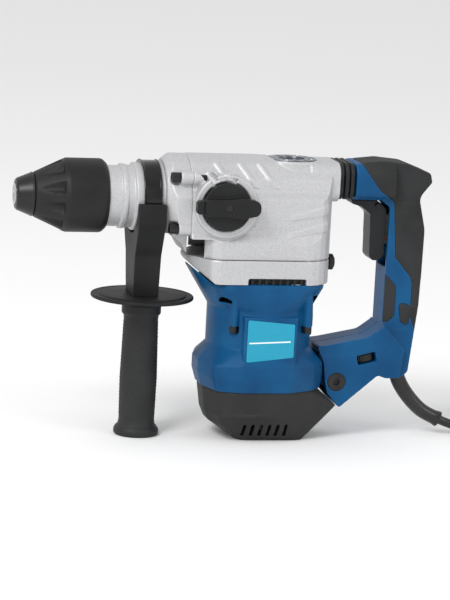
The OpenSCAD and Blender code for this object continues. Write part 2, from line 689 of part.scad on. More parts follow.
// Soft pads set into the side of the handle, inside the hand gap and at its lower rear
module grip_pad() {
  side_plate(outline([[100, 146, 0], [108.5, 146, 0], [118, 136, 6], [118, 109, 3], [112, 104, 0],
                      [100, 104, 0]]), -60, -14.5);
}
module tail_pad() {
  side_plate(outline([[121, 122, 3], [133, 118, 2], [131, 100, 3], [124, 104, 4]]), -60, -14.5);
}
module handle_hollow() {
  side_plate(outline([[70, 216, 0], [70, 239, 0], [92, 240, 4], [104, 218, 3], [115.5, 200, 3],
                      [115.5, 158, 3], [124, 140, 3], [126, 98, 3], [116, 72, 3], [80, 62, 3],
                      [80, 70, 3], [100, 81, 3], [112, 98, 3], [112, 152, 0], [104, 152, 0],
                      [104, 206, 0], [98, 216, 3]]), -12, 12);
  side_plate(outline([[40, 44, 0], [40, 78, 0], [66, 73, 8], [86, 66, 8], [86, 48, 6],
                      [74, 38, 6], [62, 41, 0]]), -12, 12);
  side_plate([[92, 156.5], [115.5, 156.5], [115.5, 208], [92, 208]], -12, 12);
}
module handle_left_shell() { handle_shell(1); }
module handle_right_shell() { handle_shell(-1); }
module grip_overmould() {
  color([0.1, 0.1, 0.11]) {
    difference() {
      intersection() {
        handle_form();
        side_plate(outline(grip_split), -60, 60);
      }
      side_plate(outline([[102, 226, 3], [118, 229, 3], [126, 222, 3], [127, 190, 6], [127, 160, 3],
                          [108, 160, 0], [104, 212, 3]]), -10, 10);
    }
    intersection() {
      handle_body(grip_half);
      grip_pad();
    }
    intersection() {
      handle_body(grip_half + 0.6);
      tail_pad();
    }
  }
}
module bellows() {
  ribs = 3;
  pitch = 4.7;
  color([0.1, 0.1, 0.11]) difference() {
    union() {
      for (i = [0:ribs - 1]) front_plate(outline(mirrored([[-25, 211.4, 9], [-25, 243.5, 10]])),
        bellows_x + i * pitch, bellows_x + i * pitch + 3);
      front_plate(outline(mirrored([[-22, 213.5, 8], [-22, 241, 8]])), bellows_x, bellows_x + bellows_len);
    }
    front_plate(outline(mirrored([[-18, 217, 5], [-18, 237.5, 5]])), bellows_x - 5, bellows_x + 25);
  }
}
module handle_spring() {
  color("silver") translate([0, 0, 227.5]) tube(helix(bellows_x + 1, 84, 7, 4), 1.1, 8, [1, 0, 0]);
}
module pivot_bolt() {
  color([0.05, 0.05, 0.06]) difference() {
    union() {
      cross_post(pivot_x, pivot_z, 5, -21, 21);
      cross_post(pivot_x, pivot_z, 8, 18.5, 21.5);
      cross_post(pivot_x, pivot_z, 8, -21.5, -18.5);
    }
    translate([pivot_x, -22, pivot_z]) rotate([-90, 0, 0]) cylinder(r = 3, h = 3.5, $fn = 6);
  }
}
module trigger() {
  color([0.06, 0.06, 0.07]) {
    side_plate(outline([[75.2, 210.4, 0], [75.2, 207, 2], [84, 204.5, 3], [92.5, 198, 4],
                        [93.5, 161, 3], [96.5, 157.5, 2], [102, 157.5, 2], [106.5, 162, 2],
                        [106.5, 203, 4], [98, 210.4, 0]]), -11.5, 11.5);
    cross_post(trigger_x, trigger_z, 2, -14, 14);
  }
}
module trigger_switch() {
  color([0.2, 0.2, 0.2]) difference() {
    side_plate([[111.7, 170], [115.4, 170], [115.4, 196], [111.7, 196]], -9.7, 9.7);
    long_post(0, 176, 2 + running, 100, 120);
  }
}
module switch_plunger() {
  color([0.8, 0.4, 0.1]) long_post(0, 176, 2, 107.2, 111.2);
}
module dial_slot() {
  translate([94, -16, 72]) rotate([0, -14, 0]) cube([17, 14, 8.6], center = true);
}
module speed_dial() {
  color([0.1, 0.1, 0.1]) translate([94, -11.5, 72]) rotate([0, -14, 0]) translate([0, 0, -3]) difference() {
    cylinder(r = 8, h = 6);
    for (i = [0:23]) rotate([0, 0, 15 * i]) translate([8, 0, -1]) cylinder(r = 0.6, h = 8, $fn = 16);
  }
}

// ==== cord ====
// Route of the strain relief and the cord, then the coil on the floor
guard_path = smooth([[126, 0, 66], [128, 0, 55], [133, 0, 44], [142, 0, 32], [154, 0, 21],
                     [169, 0, 13.5]], 3);
guard_root_r = 7.1;
cord_route = [[169.4, 0, 13.3], [176, 0, 10.6], [185, -1, 7.6], [196, -5, 5.2], [208, -13, 4.1],
              [219, -24, 4.1], [229, -36, 4.1]];
coil_x = 268;
coil_mid_r = 44;
plug_z = coil_layers * cord_d + 12;
module cord_guard() {
  n = len(guard_path);
  color([0.03, 0.03, 0.03])
    tube(guard_path, [for (i = [0:n - 1]) i > n - 3 ? 7.2 : 7 - 0.8 * i / n], 12);
}
module cord() {
  color([0.03, 0.03, 0.03]) tube(smooth(cord_route, 3), cord_d / 2, 8);
}
module cord_coil() {
  color([0.03, 0.03, 0.03]) translate([coil_x, 0, 0]) rotate_extrude($fn = 64)
    polygon([[coil_mid_r - 1.5 * cord_d, 0], [coil_mid_r + 1.5 * cord_d, 0],
             [coil_mid_r + 1.5 * cord_d, coil_layers * cord_d],
             [coil_mid_r - 1.5 * cord_d, coil_layers * cord_d]]);
}
module plug() {
  color([0.05, 0.05, 0.05]) {
    translate([coil_x, 40, plug_z]) {
      rotate([0, -90, 0]) rotate_extrude($fn = 48)
        polygon([[0, -30], [4.4, -30], [6, -6], [11.9, 6], [11.9, 10], [0, 10]]);
      translate([0, 0, -12]) linear_extrude(24) polygon(outline(
        [[-34, -18, 3], [-34, 18, 3], [-9, 16, 6], [-9, -16, 6]]));
      for (pin = [-1, 1]) long_post(pin * 9.5, 0, 2.4, -53, -34);
    }
  }
}

tool_holder();
dust_cap();
locking_balls();
sleeve_spring();
locking_sleeve();
hammer_tube();
crown_gear();
impact_bolt();
striker();
piston();
wrist_pin();
con_rod();
crank_gear();
crankshaft();
idler_gear();
idler_shaft();
gear_bearings();
nose_casting();
spindle_bearings();
spindle_seal();
nose_screws();
clamp_band();
handle_yoke();
clamp_bolt();
guard_disc();
side_grip();
gear_housing();
gearbox_base();
oil_cap();
selector_knob();
selector_button();
knob_screw();
selector_shaft();
housing_plug();
motor_housing();
motor_screws();
label_plate();
stator();
armature_shaft();
armature_core();
commutator();
fan();
motor_bearings();
carbon_brushes();
end_cap();
vent_grille();
handle_left_shell();
handle_right_shell();
grip_overmould();
bellows();
handle_spring();
pivot_bolt();
trigger();
trigger_switch();
switch_plunger();
speed_dial();
cord_guard();
cord();
cord_coil();
plug();
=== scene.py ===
import json
import math

import bmesh
import bpy
from mathutils import Matrix, Vector

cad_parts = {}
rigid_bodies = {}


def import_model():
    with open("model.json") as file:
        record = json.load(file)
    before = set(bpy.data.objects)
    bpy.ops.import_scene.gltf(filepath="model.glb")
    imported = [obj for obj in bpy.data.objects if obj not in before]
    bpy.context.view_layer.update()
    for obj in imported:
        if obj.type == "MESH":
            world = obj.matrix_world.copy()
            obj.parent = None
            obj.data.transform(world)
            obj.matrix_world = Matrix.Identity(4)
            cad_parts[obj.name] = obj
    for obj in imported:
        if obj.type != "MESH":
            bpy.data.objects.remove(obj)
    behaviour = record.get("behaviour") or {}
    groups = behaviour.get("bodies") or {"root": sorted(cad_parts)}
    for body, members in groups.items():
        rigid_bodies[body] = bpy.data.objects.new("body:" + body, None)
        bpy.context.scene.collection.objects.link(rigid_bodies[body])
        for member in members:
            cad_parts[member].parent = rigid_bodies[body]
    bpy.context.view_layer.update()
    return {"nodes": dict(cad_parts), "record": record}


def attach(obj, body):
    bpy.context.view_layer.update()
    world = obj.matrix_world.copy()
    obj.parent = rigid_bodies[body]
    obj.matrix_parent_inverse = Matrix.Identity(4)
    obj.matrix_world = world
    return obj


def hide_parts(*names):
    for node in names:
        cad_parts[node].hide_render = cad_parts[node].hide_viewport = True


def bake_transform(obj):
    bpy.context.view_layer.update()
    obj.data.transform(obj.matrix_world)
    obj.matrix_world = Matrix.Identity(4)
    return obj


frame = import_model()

mm = 0.001
print("frame loaded:", len(frame["nodes"]), "nodes")

# camera
viewPlan = {
    "target": (-0.0306, 0.0, 0.1188),
    "azimuth": -13.2,
    "elevation": 10.1,
    "roll": 3.0,
    "distance": 2.5,
    "lens": 172.8,
}


def placeCamera(plan):
    turn, rise, roll = (math.radians(plan[k]) for k in ("azimuth", "elevation", "roll"))
    back = Vector((math.sin(turn) * math.cos(rise), -math.cos(turn) * math.cos(rise), math.sin(rise)))
    flatRight = Vector((math.cos(turn), math.sin(turn), 0))
    flatUp = back.cross(flatRight)
    right = flatRight * math.cos(roll) + flatUp * math.sin(roll)
    up = flatUp * math.cos(roll) - flatRight * math.sin(roll)
    bpy.ops.object.camera_add()
    camera = bpy.context.object
    camera.name = "studioCamera"
    camera.data.lens = plan["lens"]
    camera.data.clip_end = 20
    place = Matrix((right, up, back)).transposed().to_4x4()
    place.translation = Vector(plan["target"]) + back * plan["distance"]
    camera.matrix_world = place
    bpy.context.scene.camera = camera


bpy.ops.object.select_all(action="DESELECT")
placeCamera(viewPlan)
print("camera placed")


# picking and finishing
def onlySelect(*pieces):
    if bpy.context.object and bpy.context.object.mode != "OBJECT":
        bpy.ops.object.mode_set(mode="OBJECT")
    bpy.ops.object.select_all(action="DESELECT")
    for piece in pieces:
        piece.select_set(True)
    bpy.context.view_layer.objects.active = pieces[0]


def finishModifier(piece, kind, **settings):
    onlySelect(piece)
    modifier = piece.modifiers.new(kind.title(), kind)
    for key, value in settings.items():
        setattr(modifier, key, value)
    bpy.ops.object.modifier_apply(modifier=modifier.name)


def smoothShade(piece, angle):
    onlySelect(piece)
    bpy.ops.object.shade_smooth_by_angle(angle=math.radians(angle))


bodyOf = {node: body for body, nodes in frame["record"]["behaviour"]["bodies"].items() for node in nodes}
slotOf = {part["node"]: part["material_slot"] for part in frame["record"]["subparts"]}


def settle(piece, body, nodes, finish):
    onlySelect(piece)
    bpy.ops.object.transform_apply(location=True, rotation=True, scale=True)
    if body:
        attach(piece, body)
    if nodes:
        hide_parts(*nodes)
    dress(piece, finish)
    return piece


def dress(piece, finish):
    if not piece.material_slots:
        piece.data.materials.append(finish)
    for slot in piece.material_slots:
        slot.material = finish


# shader maths on sockets
class Wire:
    def __init__(self, finish, socket):
        self.finish, self.socket = finish, socket

    def math(self, operation, a, b):
        return self.finish.node("ShaderNodeMath", {"operation": operation}, {0: a, 1: b})

    def __add__(self, other):
        return self.math("ADD", self, other)

    def __radd__(self, other):
        return self.math("ADD", other, self)

    def __sub__(self, other):
        return self.math("SUBTRACT", self, other)

    def __rsub__(self, other):
        return self.math("SUBTRACT", other, self)

    def __mul__(self, other):
        return self.math("MULTIPLY", self, other)

    def __rmul__(self, other):
        return self.math("MULTIPLY", other, self)

    def mask(self, low, high):
        return self.finish.node("ShaderNodeMapRange", {},
                                {"Value": self, "From Min": low, "From Max": high})


class Finish:
    def __init__(self, name):
        self.material = bpy.data.materials.new(name)
        self.material.use_nodes = True
        self.tree = self.material.node_tree
        self.shader = self.tree.nodes["Principled BSDF"]
        self.place = self.node("ShaderNodeTexCoord", out="Object")

    def node(self, kind, settings=None, sockets=None, out=0):
        made = self.tree.nodes.new(kind)
        for key, value in (settings or {}).items():
            setattr(made, key, value)
        for key, value in (sockets or {}).items():
            self.feed(made.inputs[key], value)
        return Wire(self, made.outputs[out])

    def feed(self, socket, value):
        if isinstance(value, Wire):
            self.tree.links.new(value.socket, socket)
        else:
            socket.default_value = value

    def stretched(self, *scale):
        return self.node("ShaderNodeMapping", {}, {"Vector": self.place, "Scale": scale})

    def noise(self, scale, detail=2.0, vector=None):
        return self.node("ShaderNodeTexNoise", {},
                         {"Vector": vector or self.place, "Scale": scale, "Detail": detail})

    def cells(self, scale):
        return self.node("ShaderNodeTexVoronoi", {}, {"Vector": self.place, "Scale": scale})

    def axis(self, letter):
        return self.node("ShaderNodeSeparateXYZ", {}, {0: self.place}, out=letter)

    def edges(self, low=0.52, high=0.6):
        return self.node("ShaderNodeNewGeometry", out="Pointiness").mask(low, high)

    def blend(self, factor, a, b):
        return self.node("ShaderNodeMix", {"data_type": "RGBA"}, {0: factor, 6: a, 7: b}, out=2)

    def bump(self, height, strength, depth):
        return self.node("ShaderNodeBump", {}, {"Height": height, "Strength": strength, "Distance": depth})

    def surface(self, **sockets):
        for key, value in sockets.items():
            self.feed(self.shader.inputs[socketNames[key]], value)
        return self.material


socketNames = {"colour": "Base Color", "rough": "Roughness", "metal": "Metallic", "normal": "Normal",
               "shine": "Specular IOR Level"}


def grey(value, tint=0.0):
    return (value, value * (1 + tint * 0.4), value * (1 + tint), 1)


# moulded plastics and rubbers: grain size in 1/m, grain depth in m; the third colour is real scuff wear and
# also a painted highlight on convex edges
mouldPlan = {
    "bluePlastic": {"dark": (0.0015, 0.052, 0.15, 1), "light": (0.004, 0.085, 0.215, 1),
                    "wearAndEdgeHighlight": (0.035, 0.17, 0.34, 1), "rough": 0.40, "shine": 0.17, "grain": 2400,
                    "depth": 0.00012, "scuffs": 0.35},
    "capPlastic": {"dark": grey(0.0224), "light": grey(0.0329), "wearAndEdgeHighlight": grey(0.091), "rough": 0.55,
                   "shine": 0.18, "grain": 1900, "depth": 0.00016, "scuffs": 0.8},
    "sleevePlastic": {"dark": grey(0.0108), "light": grey(0.0192), "wearAndEdgeHighlight": grey(0.045), "rough": 0.46,
                      "shine": 0.22, "grain": 2600, "depth": 0.00010, "scuffs": 0.3},
    "yokePlastic": {"dark": grey(0.0094, 0.05), "light": grey(0.0165, 0.05), "wearAndEdgeHighlight": grey(0.0495),
                    "rough": 0.5, "shine": 0.2, "grain": 1500, "depth": 0.00014, "scuffs": 0.45},
    "gripRubber": {"dark": grey(0.0135, 0.06), "light": grey(0.0255, 0.06), "wearAndEdgeHighlight": grey(0.0638),
                   "rough": 0.5, "shine": 0.25, "grain": 1700, "depth": 0.00008, "scuffs": 0.2},
    "softRubber": {"dark": grey(0.0195, 0.06), "light": grey(0.0338, 0.06), "wearAndEdgeHighlight": grey(0.075, 0.05),
                   "rough": 0.62, "shine": 0.18, "grain": 2200, "depth": 0.00018, "scuffs": 0.6},
    "knobPlastic": {"dark": grey(0.0072, 0.12), "light": grey(0.0144, 0.12), "wearAndEdgeHighlight": grey(0.036, 0.1),
                    "rough": 0.4, "shine": 0.25, "grain": 2600, "depth": 0.00008, "scuffs": 0.2},
    "triggerPlastic": {"dark": grey(0.0072, 0.15), "light": grey(0.0132, 0.15), "wearAndEdgeHighlight": grey(0.033, 0.1),
                       "rough": 0.36, "shine": 0.25, "grain": 2300, "depth": 0.00008, "scuffs": 0.25},
    "bellowsRubber": {"dark": grey(0.007, 0.18), "light": grey(0.015, 0.18), "wearAndEdgeHighlight": grey(0.06, 0.1),
                      "rough": 0.42, "shine": 0.3, "grain": 2000, "depth": 0.0001, "scuffs": 0.2},
    "dustRubber": {"dark": grey(0.0072), "light": grey(0.012), "wearAndEdgeHighlight": grey(0.03), "rough": 0.3,
                   "shine": 0.35, "grain": 1800, "depth": 0.00006, "scuffs": 0.15},
    "cordSheath": {"dark": grey(0.006), "light": grey(0.011), "wearAndEdgeHighlight": grey(0.03), "rough": 0.2,
                   "shine": 0.5, "grain": 900, "depth": 0.00006, "scuffs": 0.1},
    "plugPlastic": {"dark": grey(0.008), "light": grey(0.014), "wearAndEdgeHighlight": grey(0.04), "rough": 0.35,
                    "shine": 0.45, "grain": 2200, "depth": 0.00008, "scuffs": 0.3},
    "fanPlastic": {"dark": grey(0.05), "light": grey(0.08), "wearAndEdgeHighlight": grey(0.16), "rough": 0.5,
                   "shine": 0.4, "grain": 1500, "depth": 0.0001, "scuffs": 0.2},
    "orangePlastic": {"dark": (0.35, 0.07, 0.01, 1), "light": (0.5, 0.12, 0.02, 1),
                      "wearAndEdgeHighlight": (0.7, 0.25, 0.08, 1), "rough": 0.4, "shine": 0.4, "grain": 1800,
                      "depth": 0.0001, "scuffs": 0.2},
    "carbonBlock": {"dark": grey(0.01), "light": grey(0.035), "wearAndEdgeHighlight": grey(0.09), "rough": 0.6,
                    "shine": 0.3, "grain": 3000, "depth": 0.0002, "scuffs": 0.6},
}


def mouldedFinish(name, plan):
    finish = Finish(name)
    cloud = finish.noise(22, 4.0)
    grain = finish.noise(plan["grain"], 1.0)
    streak = finish.noise(60, 5.0, finish.stretched(0.35, 1.0, 2.6)).mask(0.63, 0.78)
    fleck = finish.noise(340, 3.0).mask(0.66, 0.8)
    colour = finish.blend(cloud.mask(0.35, 0.68), plan["dark"], plan["light"])
    colour = finish.blend((streak * 0.35 + fleck * 0.4) * plan["scuffs"], colour, plan["wearAndEdgeHighlight"])
    # painted highlight: sharp convex edges are lightened towards the scuff colour, standing in for light
    # caught on the edges
    colour = finish.blend(finish.edges() * 0.55, colour, plan["wearAndEdgeHighlight"])
    rough = plan["rough"] + (cloud - 0.5) * 0.22 + grain * 0.08 + streak * 0.1
    height = grain + finish.noise(plan["grain"] * 0.3, 2.0) * 0.5
    return finish.surface(colour=colour, rough=rough, shine=plan["shine"],
                          normal=finish.bump(height, 0.35, plan["depth"]))


metalPlan = {
    "brightSteel": {"dark": grey(0.36), "light": grey(0.62), "rough": 0.28, "lay": (1, 30, 30)},
    "gearSteel": {"dark": grey(0.12), "light": grey(0.26), "rough": 0.36, "lay": (4, 4, 30)},
    "pistonAlloy": {"dark": grey(0.5), "light": grey(0.7), "rough": 0.3, "lay": (30, 2, 2)},
    "copperWinding": {"dark": (0.35, 0.09, 0.03, 1), "light": (0.72, 0.28, 0.12, 1), "rough": 0.3,
                      "lay": (3, 3, 60)},
    "lamination": {"dark": grey(0.14), "light": grey(0.3), "rough": 0.42, "lay": (1, 1, 90)},
    "capAlloy": {"dark": grey(0.10, 0.3), "light": grey(0.24, 0.25), "rough": 0.3, "lay": (8, 8, 8)},
}


def metalFinish(name, plan):
    finish = Finish(name)
    turning = finish.noise(40, 3.0, finish.stretched(*plan["lay"]))
    smear = finish.noise(70, 4.0)
    colour = finish.blend(smear.mask(0.3, 0.7), plan["dark"], plan["light"])
    rough = plan["rough"] + (smear - 0.5) * 0.25 + (turning - 0.5) * 0.2
    return finish.surface(colour=colour, rough=rough, metal=1.0,
                          normal=finish.bump(turning, 0.15, 0.0001))


# silver paint with flakes over a sand-cast skin, with a painted highlight along convex edges
castPlan = {
    "dark": (0.30, 0.305, 0.315, 1),
    "light": (0.36, 0.365, 0.375, 1),
    "flake": (0.56, 0.56, 0.57, 1),
    "pit": (0.22, 0.225, 0.235, 1),
    "edgeHighlight": (0.6, 0.6, 0.61, 1),
    "rough": 0.38,
    "metal": 0.35,
    "depth": 0.00022,
}


def castFinish(name, plan):
    finish = Finish(name)
    flakes = finish.cells(1500)
    skin = finish.noise(520, 3.0)
    cloud = finish.noise(16, 3.0)
    colour = finish.blend(cloud.mask(0.3, 0.7), plan["dark"], plan["light"])
    colour = finish.blend(flakes.mask(0.2, 0.7) * 0.5, plan["flake"], colour)
    colour = finish.blend(skin.mask(0.55, 0.8) * 0.35, colour, plan["pit"])
    # painted highlight: sharp convex edges are lightened, standing in for light caught on the edges
    colour = finish.blend(finish.edges(0.51, 0.58) * 0.5, colour, plan["edgeHighlight"])
    rough = plan["rough"] + skin * 0.2 + (cloud - 0.5) * 0.1
    return finish.surface(colour=colour, rough=rough, metal=plan["metal"],
                          normal=finish.bump(skin + flakes * 0.6, 0.4, plan["depth"]))


oxidePlan = {
    "blackOxide": {"base": 0.010, "rough": 0.34},
    "bandSteel": {"base": 0.006, "rough": 0.16},
}


def oxideFinish(name, plan):
    finish = Finish(name)
    cloud = finish.noise(150, 4.0)
    colour = finish.blend(cloud.mask(0.35, 0.75), grey(plan["base"]), grey(plan["base"] * 2.2))
    return finish.surface(colour=colour, rough=plan["rough"] + (cloud - 0.5) * 0.25, metal=0.4,
                          normal=finish.bump(finish.noise(1200, 2.0), 0.2, 0.0001))


# a plain turquoise panel with one pale stripe; the two fades are squared distances in metres
labelPlan = {
    "dark": (0.012, 0.27, 0.42, 1),
    "light": (0.02, 0.33, 0.48, 1),
    "stripe": (0.8, 0.86, 0.88, 1),
    "stripeHeight": 0.0905,
    "stripeSlope": 0.045,
    "stripeFade": (0.00000016, 0.0000005),
    "endFade": (0.000328, 0.000333),
}


def labelFinish(name, plan):
    finish = Finish(name)
    height, along = finish.axis("Z"), finish.axis("X")
    middle = height - along * plan["stripeSlope"] - plan["stripeHeight"]
    stripe = 1 - (middle * middle).mask(*plan["stripeFade"])
    end = (along * along).mask(*plan["endFade"])
    grain = finish.noise(1700, 1.0)
    colour = finish.blend(grain.mask(0.3, 0.7), plan["dark"], plan["light"])
    colour = finish.blend(stripe * (1 - end), colour, plan["stripe"])
    return finish.surface(colour=colour, rough=0.3 + finish.noise(90, 3.0) * 0.15, shine=0.3,
                          normal=finish.bump(grain, 0.1, 0.00004))


finishes = {name: mouldedFinish(name, plan) for name, plan in mouldPlan.items()}
finishes.update({name: metalFinish(name, plan) for name, plan in metalPlan.items()})
finishes["castPaint"] = castFinish("castPaint", castPlan)
finishes.update({name: oxideFinish(name, plan) for name, plan in oxidePlan.items()})
finishes["labelFace"] = labelFinish("labelFace", labelPlan)
slotFinish = {
    "cast_aluminium": "castPaint", "blue_plastic": "bluePlastic", "dark_plastic": "capPlastic",
    "black_plastic": "knobPlastic", "soft_rubber": "softRubber", "black_metal": "blackOxide",
    "grey_metal": "capAlloy", "bright_steel": "brightSteel", "alloy": "pistonAlloy",
    "copper": "copperWinding", "carbon": "carbonBlock", "orange_plastic": "orangePlastic",
    "label_face": "labelFace", "cord_rubber": "cordSheath",
}
nodeFinish = {
    "crown_gear": "gearSteel", "crank_gear": "gearSteel", "idler_gear": "gearSteel",
    "armature_core": "lamination", "stator": "lamination", "fan": "fanPlastic",
    "locking_balls": "brightSteel", "con_rod": "gearSteel", "spindle_seal": "dustRubber",
    "trigger_switch": "fanPlastic",
}
for nodeName, cadNode in frame["nodes"].items():
    dress(cadNode, finishes[nodeFinish.get(nodeName, slotFinish[slotOf[nodeName]])])
print("finishes mixed:", len(finishes))


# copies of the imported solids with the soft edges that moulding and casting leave
def softCopy(node, name, finish, voxel, rounds, keep, shade, carve=None, ride=True):
    onlySelect(frame["nodes"][node])
    bpy.ops.object.duplicate()
    piece = bpy.context.object
    piece.name = name
    bpy.ops.object.parent_clear(type="CLEAR_KEEP_TRANSFORM")
    bpy.ops.object.mode_set(mode="EDIT")
    bpy.ops.mesh.select_all(action="SELECT")
    bpy.ops.mesh.remove_doubles(threshold=0.00001)
    bpy.ops.object.mode_set(mode="OBJECT")
    piece.data.materials.clear()
    finishModifier(piece, "REMESH", mode="VOXEL", voxel_size=voxel * mm)
    finishModifier(piece, "SMOOTH", factor=0.5, iterations=rounds)
    if carve:
        carveSkin(piece, carve)
    finishModifier(piece, "DECIMATE", ratio=keep)
    smoothShade(piece, shade)
    return settle(piece, bodyOf[node] if ride else None, [node], finishes[finish])


def carveSkin(piece, depthAt):
    # moves each point along its normal by the depth, in mm, wanted at its place
    data = piece.data
    moves = []
    for vertex in data.vertices:
        place = vertex.co / mm
        moves.append(vertex.co + vertex.normal * depthAt(place, vertex.normal) * mm)
    for vertex, target in zip(data.vertices, moves):
        vertex.co = target
    data.update()


def groove(value, centre, width, depth):
    # a soft-edged line: full depth at its centre, none past its width
    share = 1 - abs(value - centre) / width
    return -depth * min(1.0, share * 1.6) if share > 0 else 0.0


def tidyNormals(piece):
    onlySelect(piece)
    bpy.ops.object.mode_set(mode="EDIT")
    bpy.ops.mesh.select_all(action="SELECT")
    bpy.ops.mesh.remove_doubles(threshold=0.000002)
    bpy.ops.mesh.normals_make_consistent(inside=False)
    bpy.ops.object.mode_set(mode="OBJECT")


def blockBetween(low, high, bevel):
    low, high = Vector(low), Vector(high)
    bpy.ops.object.select_all(action="DESELECT")
    bpy.ops.mesh.primitive_cube_add(size=1, location=(low + high) / 2 * mm, scale=(high - low) * mm)
    block = bpy.context.object
    bpy.ops.object.transform_apply(location=True, rotation=True, scale=True)
    finishModifier(block, "BEVEL", width=bevel * mm, segments=3)
    return block


def latheSolid(name, line, centre, axis, steps):
    # a closed line of (along, radius) points spun about the axis
    axis = Vector(axis)
    side = Vector((0, 1, 0))
    points = [(Vector(centre) + axis * along + side * radius) * mm for along, radius in line]
    data = bpy.data.meshes.new(name)
    data.from_pydata(points, [(i, (i + 1) % len(points)) for i in range(len(points))], [])
    piece = bpy.data.objects.new(name, data)
    bpy.context.collection.objects.link(piece)
    onlySelect(piece)
    bpy.ops.object.mode_set(mode="EDIT")
    bpy.ops.mesh.select_all(action="SELECT")
    bpy.ops.mesh.spin(steps=steps, angle=2 * math.pi, center=Vector(centre) * mm, axis=axis)
    bpy.ops.object.mode_set(mode="OBJECT")
    tidyNormals(piece)
    return piece


def rounded(line, radius, steps=3):
    # the same closed line with each corner rounded
    result = []
    for i, corner in enumerate(line):
        here, before, after = (Vector(p) for p in (corner, line[i - 1], line[(i + 1) % len(line)]))
        a, b = before - here, after - here
        reach = min(radius, a.length * 0.45, b.length * 0.45)
        if reach < 0.02 or a.length < 0.05 or b.length < 0.05:
            result.append(tuple(here))
            continue
        start, end = here + a.normalized() * reach, here + b.normalized() * reach
        for k in range(steps + 1):
            t = k / steps
            result.append(tuple((1 - t) ** 2 * start + 2 * t * (1 - t) * here + t * t * end))
    return result


def spaced(line, pitch):
    # the same closed line with no stretch longer than the pitch
    result = []
    for i, point in enumerate(line):
        here, after = Vector(point), Vector(line[(i + 1) % len(line)])
        parts = max(1, round((after - here).length / pitch))
        result += [tuple(here.lerp(after, k / parts)) for k in range(parts)]
    return result


spindleZ = 208.5

# chuck
dustCapPlan = {"line": [(-218.2, 9.6), (-218.2, 12.2), (-216.8, 13.7), (-205.2, 18.4), (-204.6, 18.9),
                        (-203.5, 18.9), (-203.5, 12.1), (-206, 12.1), (-206, 9.6)]}
sleevePlan = {
    "line": [(-203, 12.1), (-203, 18.1), (-202, 19.3), (-178, 30.6), (-175.2, 31.7), (-146, 31.7),
             (-144, 31), (-141, 28.2), (-141, 26.75), (-174, 26.75), (-195.4, 17.6), (-195.4, 12.1)],
    "flutes": 10,
    "tip": -197.5,
    "end": -179.3,
    "floor": 21.2,
    "rise": 0.24,
    "spread": 0.125,
}


def dustCapPiece(plan):
    piece = latheSolid("dustCap", rounded(plan["line"], 0.7), (0, 0, spindleZ), (1, 0, 0), 96)
    smoothShade(piece, 40)
    return settle(piece, "spindle", ["dust_cap"], finishes["dustRubber"])


def sleevePiece(plan):
    # scallops cut in the cone, each with a flat floor that rises to its sides
    (tipX, tipRadius), (rootX, rootRadius) = plan["line"][2:4]
    line = spaced(rounded(plan["line"], 0.9), 0.75)
    piece = latheSolid("lockingSleeve", line, (0, 0, spindleZ), (1, 0, 0), 220)
    for vertex in piece.data.vertices:
        x, y, z = vertex.co.x / mm, vertex.co.y / mm, vertex.co.z / mm - spindleZ
        radius, angle = math.hypot(y, z), math.atan2(z, y)
        cone = tipRadius + (x - tipX) * (rootRadius - tipRadius) / (rootX - tipX)
        if not plan["tip"] - 1 < x < plan["end"] + 1.2 or radius < cone - 2.5:
            continue
        pitch = 2 * math.pi / plan["flutes"]
        off = (angle / pitch + 0.05) % 1 - 0.5
        across = off * pitch * radius
        floor = plan["floor"] + (x - plan["tip"]) * plan["rise"] + plan["spread"] * across * across
        wall = min(1.0, max(0.0, (plan["end"] + 0.6 - x) / 0.9))
        target = radius - max(0.0, radius - floor) * wall
        vertex.co.y, vertex.co.z = y / radius * target * mm, (z / radius * target + spindleZ) * mm
    smoothShade(piece, 28)
    return settle(piece, "sleeve", ["locking_sleeve"], finishes["sleevePlastic"])


dustCapPiece(dustCapPlan)
sleevePiece(sleevePlan)
print("chuck turned")

# side handle
gripX = -104.2
bandPlan = {"line": [(-112, 29.35), (-112, 31.9), (-111.2, 32.2), (-110.4, 31.3), (-98.1, 31.3),
                     (-97.3, 32.2), (-96.5, 31.9), (-96.5, 29.35)]}
discPlan = {"line": [(116.1, 4.4), (116.1, 20), (120, 24), (120, 43.1), (120.9, 44.5), (122.6, 44.5),
                     (123.5, 43.6), (122.9, 41.7), (122.6, 38), (123.9, 36.7), (123.9, 24), (123.5, 18),
                     (123.5, 4.4)]}
gripPlan = {
    "line": [(0, 3.0), (0, 18.3), (1.4, 19.6), (5, 19.6), (7.5, 18), (9.2, 16.2), (13.5, 15.5), (50, 16.1),
             (102, 14.9), (105.5, 15.3), (107, 17), (114.7, 17), (115.7, 16), (115.7, 4.15)],
    "knurlFrom": 16.0,
    "knurlTo": 100.5,
    "across": 34,
    "pitch": 3.1,
    "depth": 0.42,
}


def bandPiece(plan):
    piece = latheSolid("clampBand", rounded(plan["line"], 0.3, 2), (0, 0, spindleZ), (1, 0, 0), 128)
    smoothShade(piece, 35)
    return settle(piece, "side_handle", ["clamp_band"], finishes["bandSteel"])


def discPiece(plan):
    piece = latheSolid("guardDisc", rounded(plan["line"], 0.9), (gripX, 0, 0), (0, 0, 1), 144)
    smoothShade(piece, 30)
    return settle(piece, "side_handle", ["guard_disc"], finishes["yokePlastic"])


